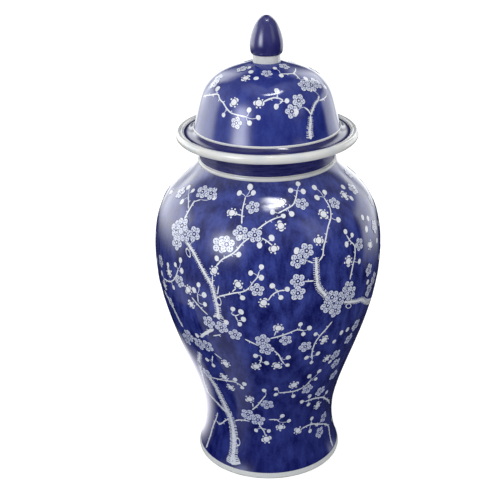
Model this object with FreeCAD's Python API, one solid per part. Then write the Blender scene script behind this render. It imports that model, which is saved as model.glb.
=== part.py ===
import FreeCAD, Part
import os
from math import cos, radians, sin, sqrt, tan

# Lidded porcelain temple jar with a bud finial, in millimetres.
# The jar stands on Z = 0 and every piece is turned about the Z axis.
# Pieces are named for the sections that a potter throws and lutes together.

# Foot ring
FOOT_R = 75.0              # outer radius where the jar stands
FOOT_H = 6.4               # height of the ring under the base
FOOT_DRAFT = 1.7           # how far the ring draws in towards its top
FOOT_W = 8.5               # width of the ring where it stands
FOOT_ROUND = 1.8           # rounding of the standing edges

# Body, from the foot ring to the neck
WAIST_R = 66.9             # narrowest radius, above the foot
WAIST_Z = 43.8             # height of the waist
BELLY_R = 111.8            # widest radius
BELLY_Z = 229.4            # height of the widest place
SHOULDER_Z = 318.2         # top of the shoulder, where the neck is luted on
SHOULDER_STEP = 1.2        # how far the shoulder's top stands out from the neck
SHOULDER_ANGLE = 56.0      # steepness of the shoulder's last stretch, in degrees
FOOT_LEAN = 21.7           # inward lean of the body just above the foot, in degrees
SEAM_Z = 196.0             # level joint between the two thrown halves of the body
WALL = 6.0                 # body wall, square to the surface
BASE_T = 7.0               # thickness of the base
BASE_ROUND = 12.0          # inside radius between base and wall

# Neck ring
NECK_R = 65.4              # outer radius
NECK_WALL = 5.5
NECK_H = 25.3              # from the shoulder to the rim that the lid rests on
BAND_H = 3.6               # raised band at the foot of the neck
BAND_OUT = 1.8             # how far the band stands out from the neck
BAND_ROUND = 0.7           # hollow between the band's top and the neck
RIM_ROUND = 1.4            # rounding of the rim's two edges

# Lid
COLLAR_CLEARANCE = 1.5     # play between the locating collar and the neck, on the radius
COLLAR_WALL = 4.5
COLLAR_DEPTH = 22.0        # how far the collar reaches into the neck
COLLAR_ROUND = 1.6
DOME_STEP = 4.5            # how much wider the dome's foot is than the neck, on the radius
DOME_H = 61.0              # from the dome's foot to its flat crown
DOME_WALL = 5.0
DOME_LEAN = 20.0           # inward lean of the dome's side at its foot, in degrees
KNEE_IN = 13.1             # from the dome's foot radius in to its knee
KNEE_H = 39.7              # height of the knee above the dome's foot
KNEE_ANGLE = 52.0          # slope of the knee, in degrees above level
CROWN_ANGLE = 16.0         # slope of the crown beside the finial, in degrees
BEAD_OUT = 1.0             # how far the bead under the dome stands out
BEAD_H = 1.8
BEAD_ROUND = 0.8           # rounding of the bead's upper edge
GUTTER_W = 10.5            # sunk channel between the bead and the rolled edge
GUTTER_SINK = 1.1          # how far the channel's bow lies below a straight slope
GUTTER_IN_H = 7.8          # height of the channel's inner edge above the seat
GUTTER_OUT_H = 4.6         # height of its outer edge
ROLL_W = 6.0               # from the channel out to the brim's edge
ROLL_DROP = 3.0            # how far the rolled edge hangs below the seat
ROLL_RISE = 5.8            # height of its top above the seat
ROLL_MID = 2.1             # height of its widest place above the seat
ROLL_LOW_IN = 5.0          # from its widest place in to its lowest
ROLL_TOP_IN = 3.0          # and in to its top
SEAT_MARGIN = 10.6         # flat underside beyond the neck's outer wall
LEDGE_H = 5.2              # thickness of the brim inside the dome
LEDGE_ROUND = 1.5

# Finial
FINIAL_FOOT_R = 13.2
FINIAL_FOOT_H = 7.2
BUD_R = 15.9
BUD_H = 35.7
BUD_BELLY_H = 8.5          # height of the bud's widest place above its foot

# Handles of the outline curves, each as a part of its own stretch's height
FOOT_PULL = 0.10
WAIST_PULL_DOWN = 0.575
WAIST_PULL_UP = 0.262
BELLY_PULL_DOWN = 0.394
BELLY_PULL_UP = 0.719
SHOULDER_PULL = 0.293
DOME_FOOT_PULL = 0.28
KNEE_PULL_DOWN = 0.29
KNEE_PULL_UP = 0.76
CROWN_PULL = 0.95
BAND_SIDE = 0.45           # where the band bulges most, as a part of its height
BUD_FOOT_PULL = 0.7        # as a part of how far the bud stands out over its foot
BUD_PULL_DOWN = 0.4        # as a part of the height of the bud's widest place
BUD_PULL_UP = 0.15
BUD_TIP_PULL = 0.69        # as a part of the bud's radius

# Places that follow from the sizes above
FOOT_TOP_R = FOOT_R - FOOT_DRAFT
SHOULDER_R = NECK_R + SHOULDER_STEP
NECK_BORE_R = NECK_R - NECK_WALL
SEAT_Z = SHOULDER_Z + NECK_H
COLLAR_R = NECK_BORE_R - COLLAR_CLEARANCE
COLLAR_BORE_R = COLLAR_R - COLLAR_WALL
DOME_R = NECK_R + DOME_STEP
DOME_Z = SEAT_Z + GUTTER_IN_H + BEAD_H
KNEE_R = DOME_R - KNEE_IN
KNEE_Z = DOME_Z + KNEE_H
CROWN_Z = DOME_Z + DOME_H
DOME_BORE_R = DOME_R - DOME_WALL / cos(radians(DOME_LEAN))
BEAD_R = DOME_R + BEAD_OUT
GUTTER_R = BEAD_R + GUTTER_W
BRIM_R = GUTTER_R + ROLL_W
BUD_Z = CROWN_Z + FINIAL_FOOT_H

ROUND_PULL = 0.5523        # handle that makes a curve of four poles a quarter ellipse
WALL_POINTS = 4            # places per outline curve at which the wall is set off


def at(r, z):
    """The point at a radius and a height, in the half plane that is turned."""
    return FreeCAD.Vector(r, 0, z)


def toward(start, angle, length):
    """The point a length away, at an angle in degrees from outwards towards up."""
    return at(start.x + length * cos(radians(angle)), start.z + length * sin(radians(angle)))


def straight(start, end):
    return Part.makeLine(start, end)


def curve(start, leave, arrive, end):
    """A curve from start to end that leaves and arrives along its two handles."""
    bezier = Part.BezierCurve()
    bezier.setPoles([start, leave, arrive, end])
    return bezier.toShape()


def rounded(start, corner, end):
    """A quarter circle that rounds the square corner between start and end."""
    middle = corner + (start + end - corner * 2) * (1 - sqrt(0.5))
    return Part.Arc(start, middle, end).toShape()


def quarter(start, corner, end):
    """A quarter ellipse that rounds the corner between start and end."""
    return curve(start, start + (corner - start) * ROUND_PULL, end + (corner - end) * ROUND_PULL, end)


def turned(edges):
    """The solid swept by a closed outline in a full turn about the axis."""
    face = Part.Face(Part.Wire(edges))
    return face.revolve(FreeCAD.Vector(0, 0, 0), FreeCAD.Vector(0, 0, 1), 360)


def rounded_outline(corners):
    """Edges of a closed outline of straight runs, each corner (r, z, radius) rounded."""
    starts, ends, middles = [], [], []
    for k, (r, z, radius) in enumerate(corners):
        here = at(r, z)
        before = at(*corners[k - 1][:2])
        after = at(*corners[(k + 1) % len(corners)][:2])
        back = (before - here).normalize()
        ahead = (after - here).normalize()
        half = back.getAngle(ahead) / 2
        starts.append(here + back * (radius / tan(half)))
        ends.append(here + ahead * (radius / tan(half)))
        middles.append(here + (back + ahead).normalize() * (radius / sin(half) - radius))
    edges = []
    for k in range(len(corners)):
        if corners[k][2] > 0:
            edges.append(Part.Arc(starts[k], middles[k], ends[k]).toShape())
        edges.append(straight(ends[k], starts[(k + 1) % len(corners)]))
    return edges


def inside_points(edges, wall):
    """Points one wall's thickness inside a run of outline curves, square to them."""
    points = []
    for edge in edges:
        first, last = edge.ParameterRange
        for k in range(WALL_POINTS):
            place = first + (last - first) * (k + 0.5) / WALL_POINTS
            on = edge.valueAt(place)
            along = edge.tangentAt(place)
            points.append(at(on.x - wall * along.z, on.z + wall * along.x))
    return points


def through(points):
    """A smooth curve through the points."""
    spline = Part.BSplineCurve()
    spline.interpolate(points)
    return spline.toShape()


def body_outline():
    """Outer curves from the foot's top to the shoulder's top, upright at waist and belly."""
    foot = at(FOOT_TOP_R, FOOT_H)
    waist = at(WAIST_R, WAIST_Z)
    belly = at(BELLY_R, BELLY_Z)
    top = at(SHOULDER_R, SHOULDER_Z)
    foot_span = WAIST_Z - FOOT_H
    swell = BELLY_Z - WAIST_Z
    shoulder = SHOULDER_Z - BELLY_Z
    return [
        curve(foot, toward(foot, 90 + FOOT_LEAN, FOOT_PULL * foot_span),
              toward(waist, -90, WAIST_PULL_DOWN * foot_span), waist),
        curve(waist, toward(waist, 90, WAIST_PULL_UP * swell),
              toward(belly, -90, BELLY_PULL_DOWN * swell), belly),
        curve(belly, toward(belly, 90, BELLY_PULL_UP * shoulder),
              toward(top, -SHOULDER_ANGLE, SHOULDER_PULL * shoulder), top),
    ]


def body_section():
    """The whole body wall and base in section, from the axis to the outside."""
    outer = body_outline()
    base_top = FOOT_H + BASE_T
    wall_foot_z = base_top + BASE_ROUND
    inner = [p for p in inside_points(outer, WALL) if wall_foot_z < p.z < SHOULDER_Z - WALL]
    wall_foot = at(inner[0].x + (inner[0].z - wall_foot_z) * tan(radians(FOOT_LEAN / 2)), wall_foot_z)
    throat = at(NECK_BORE_R, SHOULDER_Z)
    corner = at(wall_foot.x, base_top)
    round_start = at(wall_foot.x - BASE_ROUND, base_top)
    return [
        straight(at(0, FOOT_H), at(FOOT_TOP_R, FOOT_H)),
        *outer,
        straight(at(SHOULDER_R, SHOULDER_Z), throat),
        through([throat, *reversed(inner), wall_foot]),
        rounded(wall_foot, corner, round_start),
        straight(round_start, at(0, base_top)),
        straight(at(0, base_top), at(0, FOOT_H)),
    ]


def body_between(low, high):
    """The stretch of the body between two level joints."""
    section = Part.Face(Part.Wire(body_section()))
    reach = BELLY_R + WALL
    frame = [at(0, low), at(reach, low), at(reach, high), at(0, high), at(0, low)]
    stretch = section.common(Part.Face(Part.makePolygon(frame))).Faces[0]
    return stretch.revolve(FreeCAD.Vector(0, 0, 0), FreeCAD.Vector(0, 0, 1), 360)


def foot_ring():
    """Unglazed standing ring, luted under the flat base."""
    inner_r = FOOT_R - FOOT_W
    return turned(rounded_outline([
        (inner_r, 0, FOOT_ROUND),
        (FOOT_R, 0, FOOT_ROUND),
        (FOOT_TOP_R, FOOT_H, 0),
        (inner_r, FOOT_H, 0),
    ]))


def lower_body():
    """Base, waist and lower swell, thrown as one section up to the level joint."""
    return body_between(FOOT_H, SEAM_Z)


def upper_body():
    """Belly and shoulder, thrown as one section and luted on the lower one."""
    return body_between(SEAM_Z, SHOULDER_Z)


def neck_ring():
    """Upright neck with a raised band at its foot and a flat rim for the lid."""
    band_top = SHOULDER_Z + BAND_H
    band_foot = at(SHOULDER_R, SHOULDER_Z)
    band_side = at(NECK_R + BAND_OUT, SHOULDER_Z + BAND_H * BAND_SIDE)
    band_head = at(NECK_R + BAND_ROUND, band_top)
    neck_foot = at(NECK_R, band_top + BAND_ROUND)
    rim_side = at(NECK_R, SEAT_Z - RIM_ROUND)
    rim_out = at(NECK_R - RIM_ROUND, SEAT_Z)
    rim_in = at(NECK_BORE_R + RIM_ROUND, SEAT_Z)
    bore_top = at(NECK_BORE_R, SEAT_Z - RIM_ROUND)
    bore_foot = at(NECK_BORE_R, SHOULDER_Z)
    return turned([
        straight(bore_foot, band_foot),
        Part.Arc(band_foot, band_side, band_head).toShape(),
        rounded(band_head, at(NECK_R, band_top), neck_foot),
        straight(neck_foot, rim_side),
        rounded(rim_side, at(NECK_R, SEAT_Z), rim_out),
        straight(rim_out, rim_in),
        rounded(rim_in, at(NECK_BORE_R, SEAT_Z), bore_top),
        straight(bore_top, bore_foot),
    ])


def lid_brim():
    """Flange that rests on the neck's rim: rolled edge, sunk channel and bead."""
    flat_end = at(NECK_R + SEAT_MARGIN, SEAT_Z)
    roll_low = at(BRIM_R - ROLL_LOW_IN, SEAT_Z - ROLL_DROP)
    roll_side = at(BRIM_R, SEAT_Z + ROLL_MID)
    roll_top = at(BRIM_R - ROLL_TOP_IN, SEAT_Z + ROLL_RISE)
    gutter_out = at(GUTTER_R, SEAT_Z + GUTTER_OUT_H)
    gutter_in = at(BEAD_R, SEAT_Z + GUTTER_IN_H)
    bead_side = at(BEAD_R, DOME_Z - BEAD_ROUND)
    bead_top = at(BEAD_R - BEAD_ROUND, DOME_Z)
    under = (roll_low.x - flat_end.x) / 2
    lip = (roll_top.x - gutter_out.x) / 2
    bow = at(0, -2 * GUTTER_SINK)
    third = (gutter_in - gutter_out) * (1 / 3)
    ledge_z = SEAT_Z + LEDGE_H
    ledge_out = at(DOME_BORE_R, ledge_z + LEDGE_ROUND)
    ledge_in = at(DOME_BORE_R - LEDGE_ROUND, ledge_z)
    return turned([
        straight(at(COLLAR_BORE_R, SEAT_Z), flat_end),
        curve(flat_end, flat_end + at(under, 0), roll_low - at(under, 0), roll_low),
        quarter(roll_low, at(BRIM_R, roll_low.z), roll_side),
        quarter(roll_side, at(BRIM_R, roll_top.z), roll_top),
        curve(roll_top, roll_top - at(lip, 0), gutter_out + at(lip, lip), gutter_out),
        curve(gutter_out, gutter_out + third + bow, gutter_in - third + bow, gutter_in),
        straight(gutter_in, bead_side),
        rounded(bead_side, at(BEAD_R, DOME_Z), bead_top),
        straight(bead_top, at(DOME_BORE_R, DOME_Z)),
        straight(at(DOME_BORE_R, DOME_Z), ledge_out),
        rounded(ledge_out, at(DOME_BORE_R, ledge_z), ledge_in),
        straight(ledge_in, at(COLLAR_BORE_R, ledge_z)),
        straight(at(COLLAR_BORE_R, ledge_z), at(COLLAR_BORE_R, SEAT_Z)),
    ])


def lid_collar():
    """Locating ring under the brim, a loose fit inside the neck."""
    low = SEAT_Z - COLLAR_DEPTH
    return turned(rounded_outline([
        (COLLAR_BORE_R, low, COLLAR_ROUND),
        (COLLAR_R, low, COLLAR_ROUND),
        (COLLAR_R, SEAT_Z, 0),
        (COLLAR_BORE_R, SEAT_Z, 0),
    ]))


def dome_outline():
    """Outer curves of the dome: a leaning side, a knee and a low crown."""
    foot = at(DOME_R, DOME_Z)
    knee = at(KNEE_R, KNEE_Z)
    crown = at(FINIAL_FOOT_R, CROWN_Z)
    crown_rise = CROWN_Z - KNEE_Z
    return [
        curve(foot, toward(foot, 90 + DOME_LEAN, DOME_FOOT_PULL * KNEE_H),
              toward(knee, -KNEE_ANGLE, KNEE_PULL_DOWN * KNEE_H), knee),
        curve(knee, toward(knee, 180 - KNEE_ANGLE, KNEE_PULL_UP * crown_rise),
              toward(crown, -CROWN_ANGLE, CROWN_PULL * crown_rise), crown),
    ]


def lid_dome():
    """Dome of even wall, with a flat crown that carries the finial."""
    outer = dome_outline()
    under_crown = CROWN_Z - DOME_WALL
    inner = [p for p in inside_points(outer, DOME_WALL) if DOME_Z < p.z < under_crown]
    return turned([
        straight(at(DOME_BORE_R, DOME_Z), at(DOME_R, DOME_Z)),
        *outer,
        straight(at(FINIAL_FOOT_R, CROWN_Z), at(0, CROWN_Z)),
        straight(at(0, CROWN_Z), at(0, under_crown)),
        through([at(0, under_crown), *reversed(inner), at(DOME_BORE_R, DOME_Z)]),
    ])


def finial():
    """Solid bud on a short round foot, luted on the crown."""
    bud_foot = at(FINIAL_FOOT_R, BUD_Z)
    belly = at(BUD_R, BUD_Z + BUD_BELLY_H)
    tip = at(0, BUD_Z + BUD_H)
    return turned([
        straight(at(0, CROWN_Z), at(FINIAL_FOOT_R, CROWN_Z)),
        straight(at(FINIAL_FOOT_R, CROWN_Z), bud_foot),
        curve(bud_foot, bud_foot + at(BUD_R - FINIAL_FOOT_R, 0) * BUD_FOOT_PULL,
              belly - at(0, BUD_BELLY_H * BUD_PULL_DOWN), belly),
        curve(belly, belly + at(0, BUD_PULL_UP * BUD_H), at(BUD_TIP_PULL * BUD_R, tip.z), tip),
        straight(tip, at(0, CROWN_Z)),
    ])


def main():
    pieces = {
        "foot_ring": foot_ring,
        "lower_body": lower_body,
        "upper_body": upper_body,
        "neck_ring": neck_ring,
        "lid_brim": lid_brim,
        "lid_collar": lid_collar,
        "lid_dome": lid_dome,
        "finial": finial,
    }
    os.makedirs("parts", exist_ok=True)
    for name, make in pieces.items():
        shape = make()
        shape.exportStep("parts/" + name + ".step")
        print(name, len(shape.Solids), shape.isValid(), round(shape.Volume), shape.BoundBox)


main()
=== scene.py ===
from itertools import chain
from math import ceil, cos, pi, radians, sin

import bpy
import numpy as np
from mathutils import Matrix, Vector


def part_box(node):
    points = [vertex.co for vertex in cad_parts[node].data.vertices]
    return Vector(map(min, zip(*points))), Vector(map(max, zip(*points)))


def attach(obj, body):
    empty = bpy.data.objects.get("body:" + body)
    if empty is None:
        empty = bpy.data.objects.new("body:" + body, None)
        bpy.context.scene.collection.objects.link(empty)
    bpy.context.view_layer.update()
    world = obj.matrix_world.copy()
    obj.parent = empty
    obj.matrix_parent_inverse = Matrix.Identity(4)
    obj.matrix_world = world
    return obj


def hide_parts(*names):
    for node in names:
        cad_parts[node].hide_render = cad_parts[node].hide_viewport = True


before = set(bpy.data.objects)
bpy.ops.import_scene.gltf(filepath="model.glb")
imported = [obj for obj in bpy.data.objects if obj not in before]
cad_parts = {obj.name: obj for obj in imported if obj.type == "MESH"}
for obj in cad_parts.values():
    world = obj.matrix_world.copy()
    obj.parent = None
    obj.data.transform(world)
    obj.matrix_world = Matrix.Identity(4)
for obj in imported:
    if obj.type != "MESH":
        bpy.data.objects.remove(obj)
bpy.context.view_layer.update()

bl_info = {
    "name": "Ginger jar",
    "version": (1, 0, 0),
    "blender": (4, 5, 0),
    "location": "3D View > Sidebar > Ginger jar",
    "description": "Glazed porcelain jar with white plum blossom on a cobalt ground",
    "category": "Object",
}

MM = 0.001
SAME = 2e-6                  # places closer than this, in metres, are one place
SHARP = radians(34)          # a turn sharper than this is a crease
AROUND = 192                 # faces round a turned piece
BODY_STEP = 2.2 * MM         # length of a face along the body's outline
LID_STEP = 1.2 * MM          # along the dome and the collar
FINE_STEP = 0.8 * MM         # along the foot ring and the neck
FINEST_STEP = 0.7 * MM       # along the brim and the finial
HALF_TURN = [180, 0]         # from a place on the front to the one behind it
NECK_WHITE = 4.3 * MM        # white paint on the foot of the neck, up to this height
RIM_WHITE = 0.5 * MM         # and on its rim, down by this much
NECK_SKIN = 4.4 * MM         # what lies farther out than this from the neck's bore is its outside
BEAD_OUT = 1.0 * MM          # how far the white bead stands out from the foot of the dome
CHANNEL_START = 0.15 * MM    # the channel's blue starts this far outside the bead
CHANNEL_END = 7.5 * MM       # and ends this far inside the brim's edge
CHANNEL_DEPTH = 6 * MM       # none of it lies lower than this under the brim's top
BUD_FOOT = 7.0 * MM          # height of the white foot under the bud
CAMERA_LENS = 79.0
CAMERA_PITCH, CAMERA_YAW, CAMERA_ROLL = radians(23.14), radians(1.16), radians(-0.8)


def shade(red, green, blue):
    """A colour picked on a 0 to 255 display scale, as the linear light that shaders take."""
    picked = np.array([red, green, blue]) / 255
    linear = np.where(picked <= 0.04045, picked / 12.92, ((picked + 0.055) / 1.055) ** 2.4)
    return tuple(float(x) for x in linear)


# Settings ---------------------------------------------------------------------------------------

def colour_setting(name, description, value):
    return bpy.props.FloatVectorProperty(
        name=name, description=description, size=3, subtype="COLOR", min=0, max=1, default=value)


def length_setting(name, description, low, high, value):
    return bpy.props.FloatProperty(
        name=name, description=description, unit="LENGTH", subtype="DISTANCE",
        min=low, max=high, default=value)


class GlazeSettings(bpy.types.PropertyGroup):
    cobalt_deep: colour_setting("Deep cobalt", "Cobalt where the brush left it thickest", shade(8, 13, 78))
    cobalt_thin: colour_setting("Thin cobalt", "Cobalt where the wash runs thin", shade(58, 70, 146))
    lid_deep: colour_setting("Lid cobalt", "Deep cobalt of the domed lid", shade(22, 32, 108))
    lid_thin: colour_setting("Lid wash", "Thin cobalt of the domed lid", shade(46, 60, 136))
    porcelain: colour_setting("White porcelain", "Porcelain under the clear glaze", shade(208, 209, 207))
    bare: colour_setting("Bare porcelain", "Fired porcelain of the foot, without glaze", shade(196, 199, 200))
    gloss: bpy.props.FloatProperty(
        name="Glaze roughness", description="Roughness of the clear glaze",
        subtype="FACTOR", min=0, max=1, default=0.10)


class PatternSettings(bpy.types.PropertyGroup):
    blossom: length_setting("Blossom width", "Width of an open blossom", 0.004, 0.04, 0.0158)
    bud: length_setting("Bud width", "Width of a round bud", 0.001, 0.02, 0.0048)
    linen: colour_setting("Line white", "White of the twigs, outlines and buds", shade(218, 221, 226))
    petal: colour_setting("Petal wash", "Pale blue wash inside the petals", shade(198, 204, 221))


class StageSettings(bpy.types.PropertyGroup):
    distance: length_setting("Camera distance", "Level distance of the camera from the axis", 0.3, 10, 1.0)
    height: length_setting("Camera height", "Height of the camera above the floor", 0, 5, 0.6525)
    ambient: bpy.props.FloatProperty(
        name="Soft light", description="Level of the light from all round", min=0, max=2, default=0.62)


# Shader helpers ---------------------------------------------------------------------------------

class Wire:
    """An output socket. Arithmetic on it adds Math nodes to its tree."""

    def __init__(self, tree, socket):
        self.tree, self.socket = tree, socket

    def _math(self, operation, *values):
        return self.tree.add("ShaderNodeMath", {"operation": operation}, dict(enumerate(values)))

    def __add__(self, other):
        return self._math("ADD", self, other)

    def __sub__(self, other):
        return self._math("SUBTRACT", self, other)

    def __rsub__(self, other):
        return self._math("SUBTRACT", other, self)

    def __mul__(self, other):
        return self._math("MULTIPLY", self, other)

    def __truediv__(self, other):
        return self._math("DIVIDE", self, other)

    def larger(self, other):
        return self._math("MAXIMUM", self, other)

    def between(self, low, high):
        """0 below low, 1 above high, and a smooth rise from one to the other."""
        return self.tree.add("ShaderNodeMapRange", {"interpolation_type": "SMOOTHSTEP"},
                             {"Value": self, "From Min": low, "From Max": high})


class Tree:
    """A node tree that grows by one call per node."""

    def __init__(self, owner):
        owner.use_nodes = True
        self.nodes, self.links = owner.node_tree.nodes, owner.node_tree.links
        self.nodes.clear()

    def add(self, kind, settings=None, inputs=None, output=0):
        """Adds a node, sets its settings, then fills its sockets with values or wires."""
        node = self.nodes.new(kind)
        for name, value in (settings or {}).items():
            setattr(node, name, value)
        for name, value in (inputs or {}).items():
            socket = node.inputs[name]
            if isinstance(value, Wire):
                self.links.new(value.socket, socket)
            elif socket.type == "RGBA" and len(value) == 3:
                socket.default_value = (*value, 1)
            else:
                socket.default_value = value
        return Wire(self, node.outputs[output] if len(node.outputs) else None)

    def place(self):
        return self.add("ShaderNodeTexCoord", output="Object")

    def parts(self, vector):
        split = self.add("ShaderNodeSeparateXYZ", inputs={0: vector})
        outputs = split.socket.node.outputs
        return [Wire(self, outputs[k]) for k in range(3)]

    def noise(self, vector, scale, detail=3.0, rough=0.5, stretch=(1, 1, 1)):
        """Soft random cloud from 0 to 1, at a number of features per metre."""
        spread = self.add("ShaderNodeMapping", {"vector_type": "POINT"},
                          {"Vector": vector, "Scale": tuple(scale * s for s in stretch)})
        return self.add("ShaderNodeTexNoise", None,
                        {"Vector": spread, "Scale": 1.0, "Detail": detail, "Roughness": rough})

    def blend(self, amount, low, high):
        """A colour from low to high as the amount goes from 0 to 1."""
        return self.add("ShaderNodeMix", {"data_type": "RGBA"}, {0: amount, 6: low, 7: high}, 2)

    def bump(self, height, strength, distance):
        return self.add("ShaderNodeBump", None,
                        {"Height": height, "Strength": strength, "Distance": distance}, "Normal")

    def surface(self, **sockets):
        """A principled surface with these sockets, joined to the output."""
        names = {name.replace("_", " "): value for name, value in sockets.items()}
        made = self.add("ShaderNodeBsdfPrincipled", None, names)
        self.add("ShaderNodeOutputMaterial", None, {"Surface": made})
        return made


def toned(colour, *shares):
    """A colour with its red, green and blue each taken to a share."""
    return tuple(c * k for c, k in zip(colour, shares))


def material(name):
    made = bpy.data.materials.get(name) or bpy.data.materials.new(name)
    return made, Tree(made)


def glaze_wave(tree, place):
    """The faint waviness of a thick clear glaze."""
    return tree.bump(tree.noise(place, 160, 2.0), 0.12, 0.0004)


def cobalt_glaze(name, deep, thin, gloss, strokes=(1, 1, 0.42), rings=0.0):
    """Cobalt brushed on in overlapping washes: broad clouds, upright brush marks and fine grain. Towards the
    foot it is painted darker, as shade under the belly. Rings are the depth of fine turning marks under the
    glaze, which draw highlights out upright."""
    made, tree = material(name)
    place = tree.place()
    cloud = tree.noise(place, 18, 3.0, 0.6)
    brush = tree.noise(place, 110, 4.0, 0.6, strokes)
    grain = tree.noise(place, 620, 2.0, 0.5)
    amount = (cloud * 0.26 + brush * 0.60 + grain * 0.14).between(0.33, 0.70)
    # Darker towards the foot, below the widest part of the body: painted shade under the belly.
    low = 1 - tree.parts(place)[2].between(0.06, 0.23)
    wave = glaze_wave(tree, place)
    if rings:
        wave = tree.bump(tree.noise(place, 60, 2.0, 0.5, (0.03, 0.03, 40)), 1.0, rings)
    tree.surface(Base_Color=tree.blend(amount * (1 - low * 0.45), deep, thin),
                 Roughness=brush * 0.05 + (gloss - 0.025), Normal=wave)
    return made


def white_glaze(name, porcelain, gloss):
    """Clear glaze on white porcelain, a little bluer where it pools."""
    made, tree = material(name)
    place = tree.place()
    pool = tree.noise(place, 45, 3.0)
    cool = toned(porcelain, 0.86, 0.90, 0.97)
    speck = tree.noise(place, 900, 1.0).between(0.76, 0.80)
    clean = tree.blend(pool.between(0.42, 0.75), porcelain, cool)
    tree.surface(Base_Color=tree.blend(speck * 0.35, clean, shade(120, 112, 104)),
                 Roughness=pool * 0.04 + (gloss - 0.02), Normal=glaze_wave(tree, place))
    return made


def bare_porcelain(name, colour):
    """Unglazed fired porcelain: fine grain and rubbed grey on the standing edge."""
    made, tree = material(name)
    place = tree.place()
    grain = tree.noise(place, 1400, 3.0, 0.6)
    low = 1 - tree.parts(place)[2].between(0.0002, 0.0030)
    rubbed = (low * tree.noise(place, 120, 3.0).between(0.35, 0.7)) * 0.55
    tinted = tree.blend(grain.between(0.3, 0.7), colour, toned(colour, 0.90, 0.90, 0.90))
    tree.surface(Base_Color=tree.blend(rubbed, tinted, shade(128, 122, 112)), Roughness=grain * 0.2 + 0.48,
                 Normal=tree.bump(grain, 0.25, 0.0001))
    return made


def painted(name, colour, thin_and_shaded, gloss, size=420):
    """One brush colour of the pattern, thicker and thinner along the stroke, under the glaze. Towards the
    foot of the jar it goes over to its second colour; for the white lines and the petal wash that is painted
    shade under the belly."""
    made, tree = material(name)
    place = tree.place()
    thin = tree.noise(place, size, 3.0, 0.6).between(0.40, 0.72)
    # Towards the foot the second colour takes over; for the white lines and the petal wash this is painted
    # shade under the belly.
    low = 1 - tree.parts(place)[2].between(0.08, 0.26)
    tree.surface(Base_Color=tree.blend(thin * 0.45 + low * 0.55, colour, thin_and_shaded),
                 Roughness=thin * 0.03 + (gloss - 0.01))
    return made


# Turned pieces ----------------------------------------------------------------------------------

def outline_runs(node):
    """Runs of a turned node's outline: the mesh edges that lie in the half plane y = 0, x >= 0,
    joined end to end. Each run is an array of (radius, height) rows."""
    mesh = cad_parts[node].data
    places = np.empty(len(mesh.vertices) * 3, np.float32)
    mesh.vertices.foreach_get("co", places)
    places = places.reshape(-1, 3)
    edges = np.empty(len(mesh.edges) * 2, np.int32)
    mesh.edges.foreach_get("vertices", edges)
    edges = edges.reshape(-1, 2)
    on = (np.abs(places[:, 1]) < SAME) & (places[:, 0] > -SAME / 2)
    edges = edges[on[edges].all(1)]
    keys = np.round(places[:, [0, 2]] * 1e6).astype(np.int64)
    joined = {}
    for a, b in edges:
        ka, kb = tuple(keys[a]), tuple(keys[b])
        if ka != kb:
            joined.setdefault(ka, set()).add(kb)
            joined.setdefault(kb, set()).add(ka)
    runs = []
    while joined:
        ends = [k for k in joined if len(joined[k]) == 1]
        here = min(ends) if ends else min(joined)
        run = [here]
        while joined.get(here):
            ahead = min(joined[here])
            joined[here].discard(ahead)
            joined[ahead].discard(here)
            for k in (here, ahead):
                if not joined[k]:
                    del joined[k]
            run.append(ahead)
            here = ahead
        runs.append(np.array(run, float) * 1e-6)
    return runs


def travelled(steps):
    """The length gone at the start and after each step."""
    return np.concatenate([[0], np.cumsum(np.linalg.norm(steps, axis=1))])


def cubic(t, start, end, leave, arrive, span):
    """Points at shares t of the way from start to end of a span, with these slopes at its ends."""
    return ((2 * t**3 - 3 * t**2 + 1) * start + (3 * t**2 - 2 * t**3) * end
            + span * ((t**3 - 2 * t**2 + t) * leave + (t**3 - t**2) * arrive))


def faired(points, spacing):
    """Smooth points through a run: each segment is a cubic between the run's own points, with
    end slopes averaged from its neighbours. A corner, and a straight stretch beside a round,
    keep their own directions."""
    steps = np.diff(points, axis=0)
    lengths = np.linalg.norm(steps, axis=1)
    ways = steps / lengths[:, None]
    leave, arrive = ways.copy(), ways.copy()
    short, long = lengths[:-1], lengths[1:]
    mean = ways[:-1] * long[:, None] + ways[1:] * short[:, None]
    mean /= np.linalg.norm(mean, axis=1)[:, None]
    turn = (ways[:-1] * ways[1:]).sum(1)
    before_longer, after_longer = short > 3 * long, long > 3 * short
    mean[before_longer] = ways[:-1][before_longer]
    mean[after_longer] = ways[1:][after_longer]
    smooth = turn > cos(SHARP)
    arrive[:-1][smooth] = mean[smooth]
    leave[1:][smooth] = mean[smooth]
    made = [points[:1]]
    for k, length in enumerate(lengths):
        t = np.linspace(0, 1, max(1, ceil(length / spacing)) + 1)[1:, None]
        made.append(cubic(t, points[k], points[k + 1], leave[k], arrive[k], length))
    return np.concatenate(made)


def mesh_object(name, points, faces, materials, face_materials=None, normals=None):
    """Puts arrays of points and faces into a mesh object at the origin."""
    mesh = bpy.data.meshes.new(name)
    mesh.from_pydata(points.tolist(), [], faces.tolist() if isinstance(faces, np.ndarray) else faces)
    for made in materials:
        mesh.materials.append(made)
    if face_materials is not None:
        mesh.polygons.foreach_set("material_index", np.asarray(face_materials, np.int32))
    mesh.polygons.foreach_set("use_smooth", np.ones(len(mesh.polygons), bool))
    mesh.update()
    if normals is None:
        mesh.set_sharp_from_angle(angle=SHARP)
    else:
        mesh.normals_split_custom_set_from_vertices(normals.tolist())
    made = bpy.data.objects.new(name, mesh)
    bpy.context.scene.collection.objects.link(made)
    return made


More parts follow.
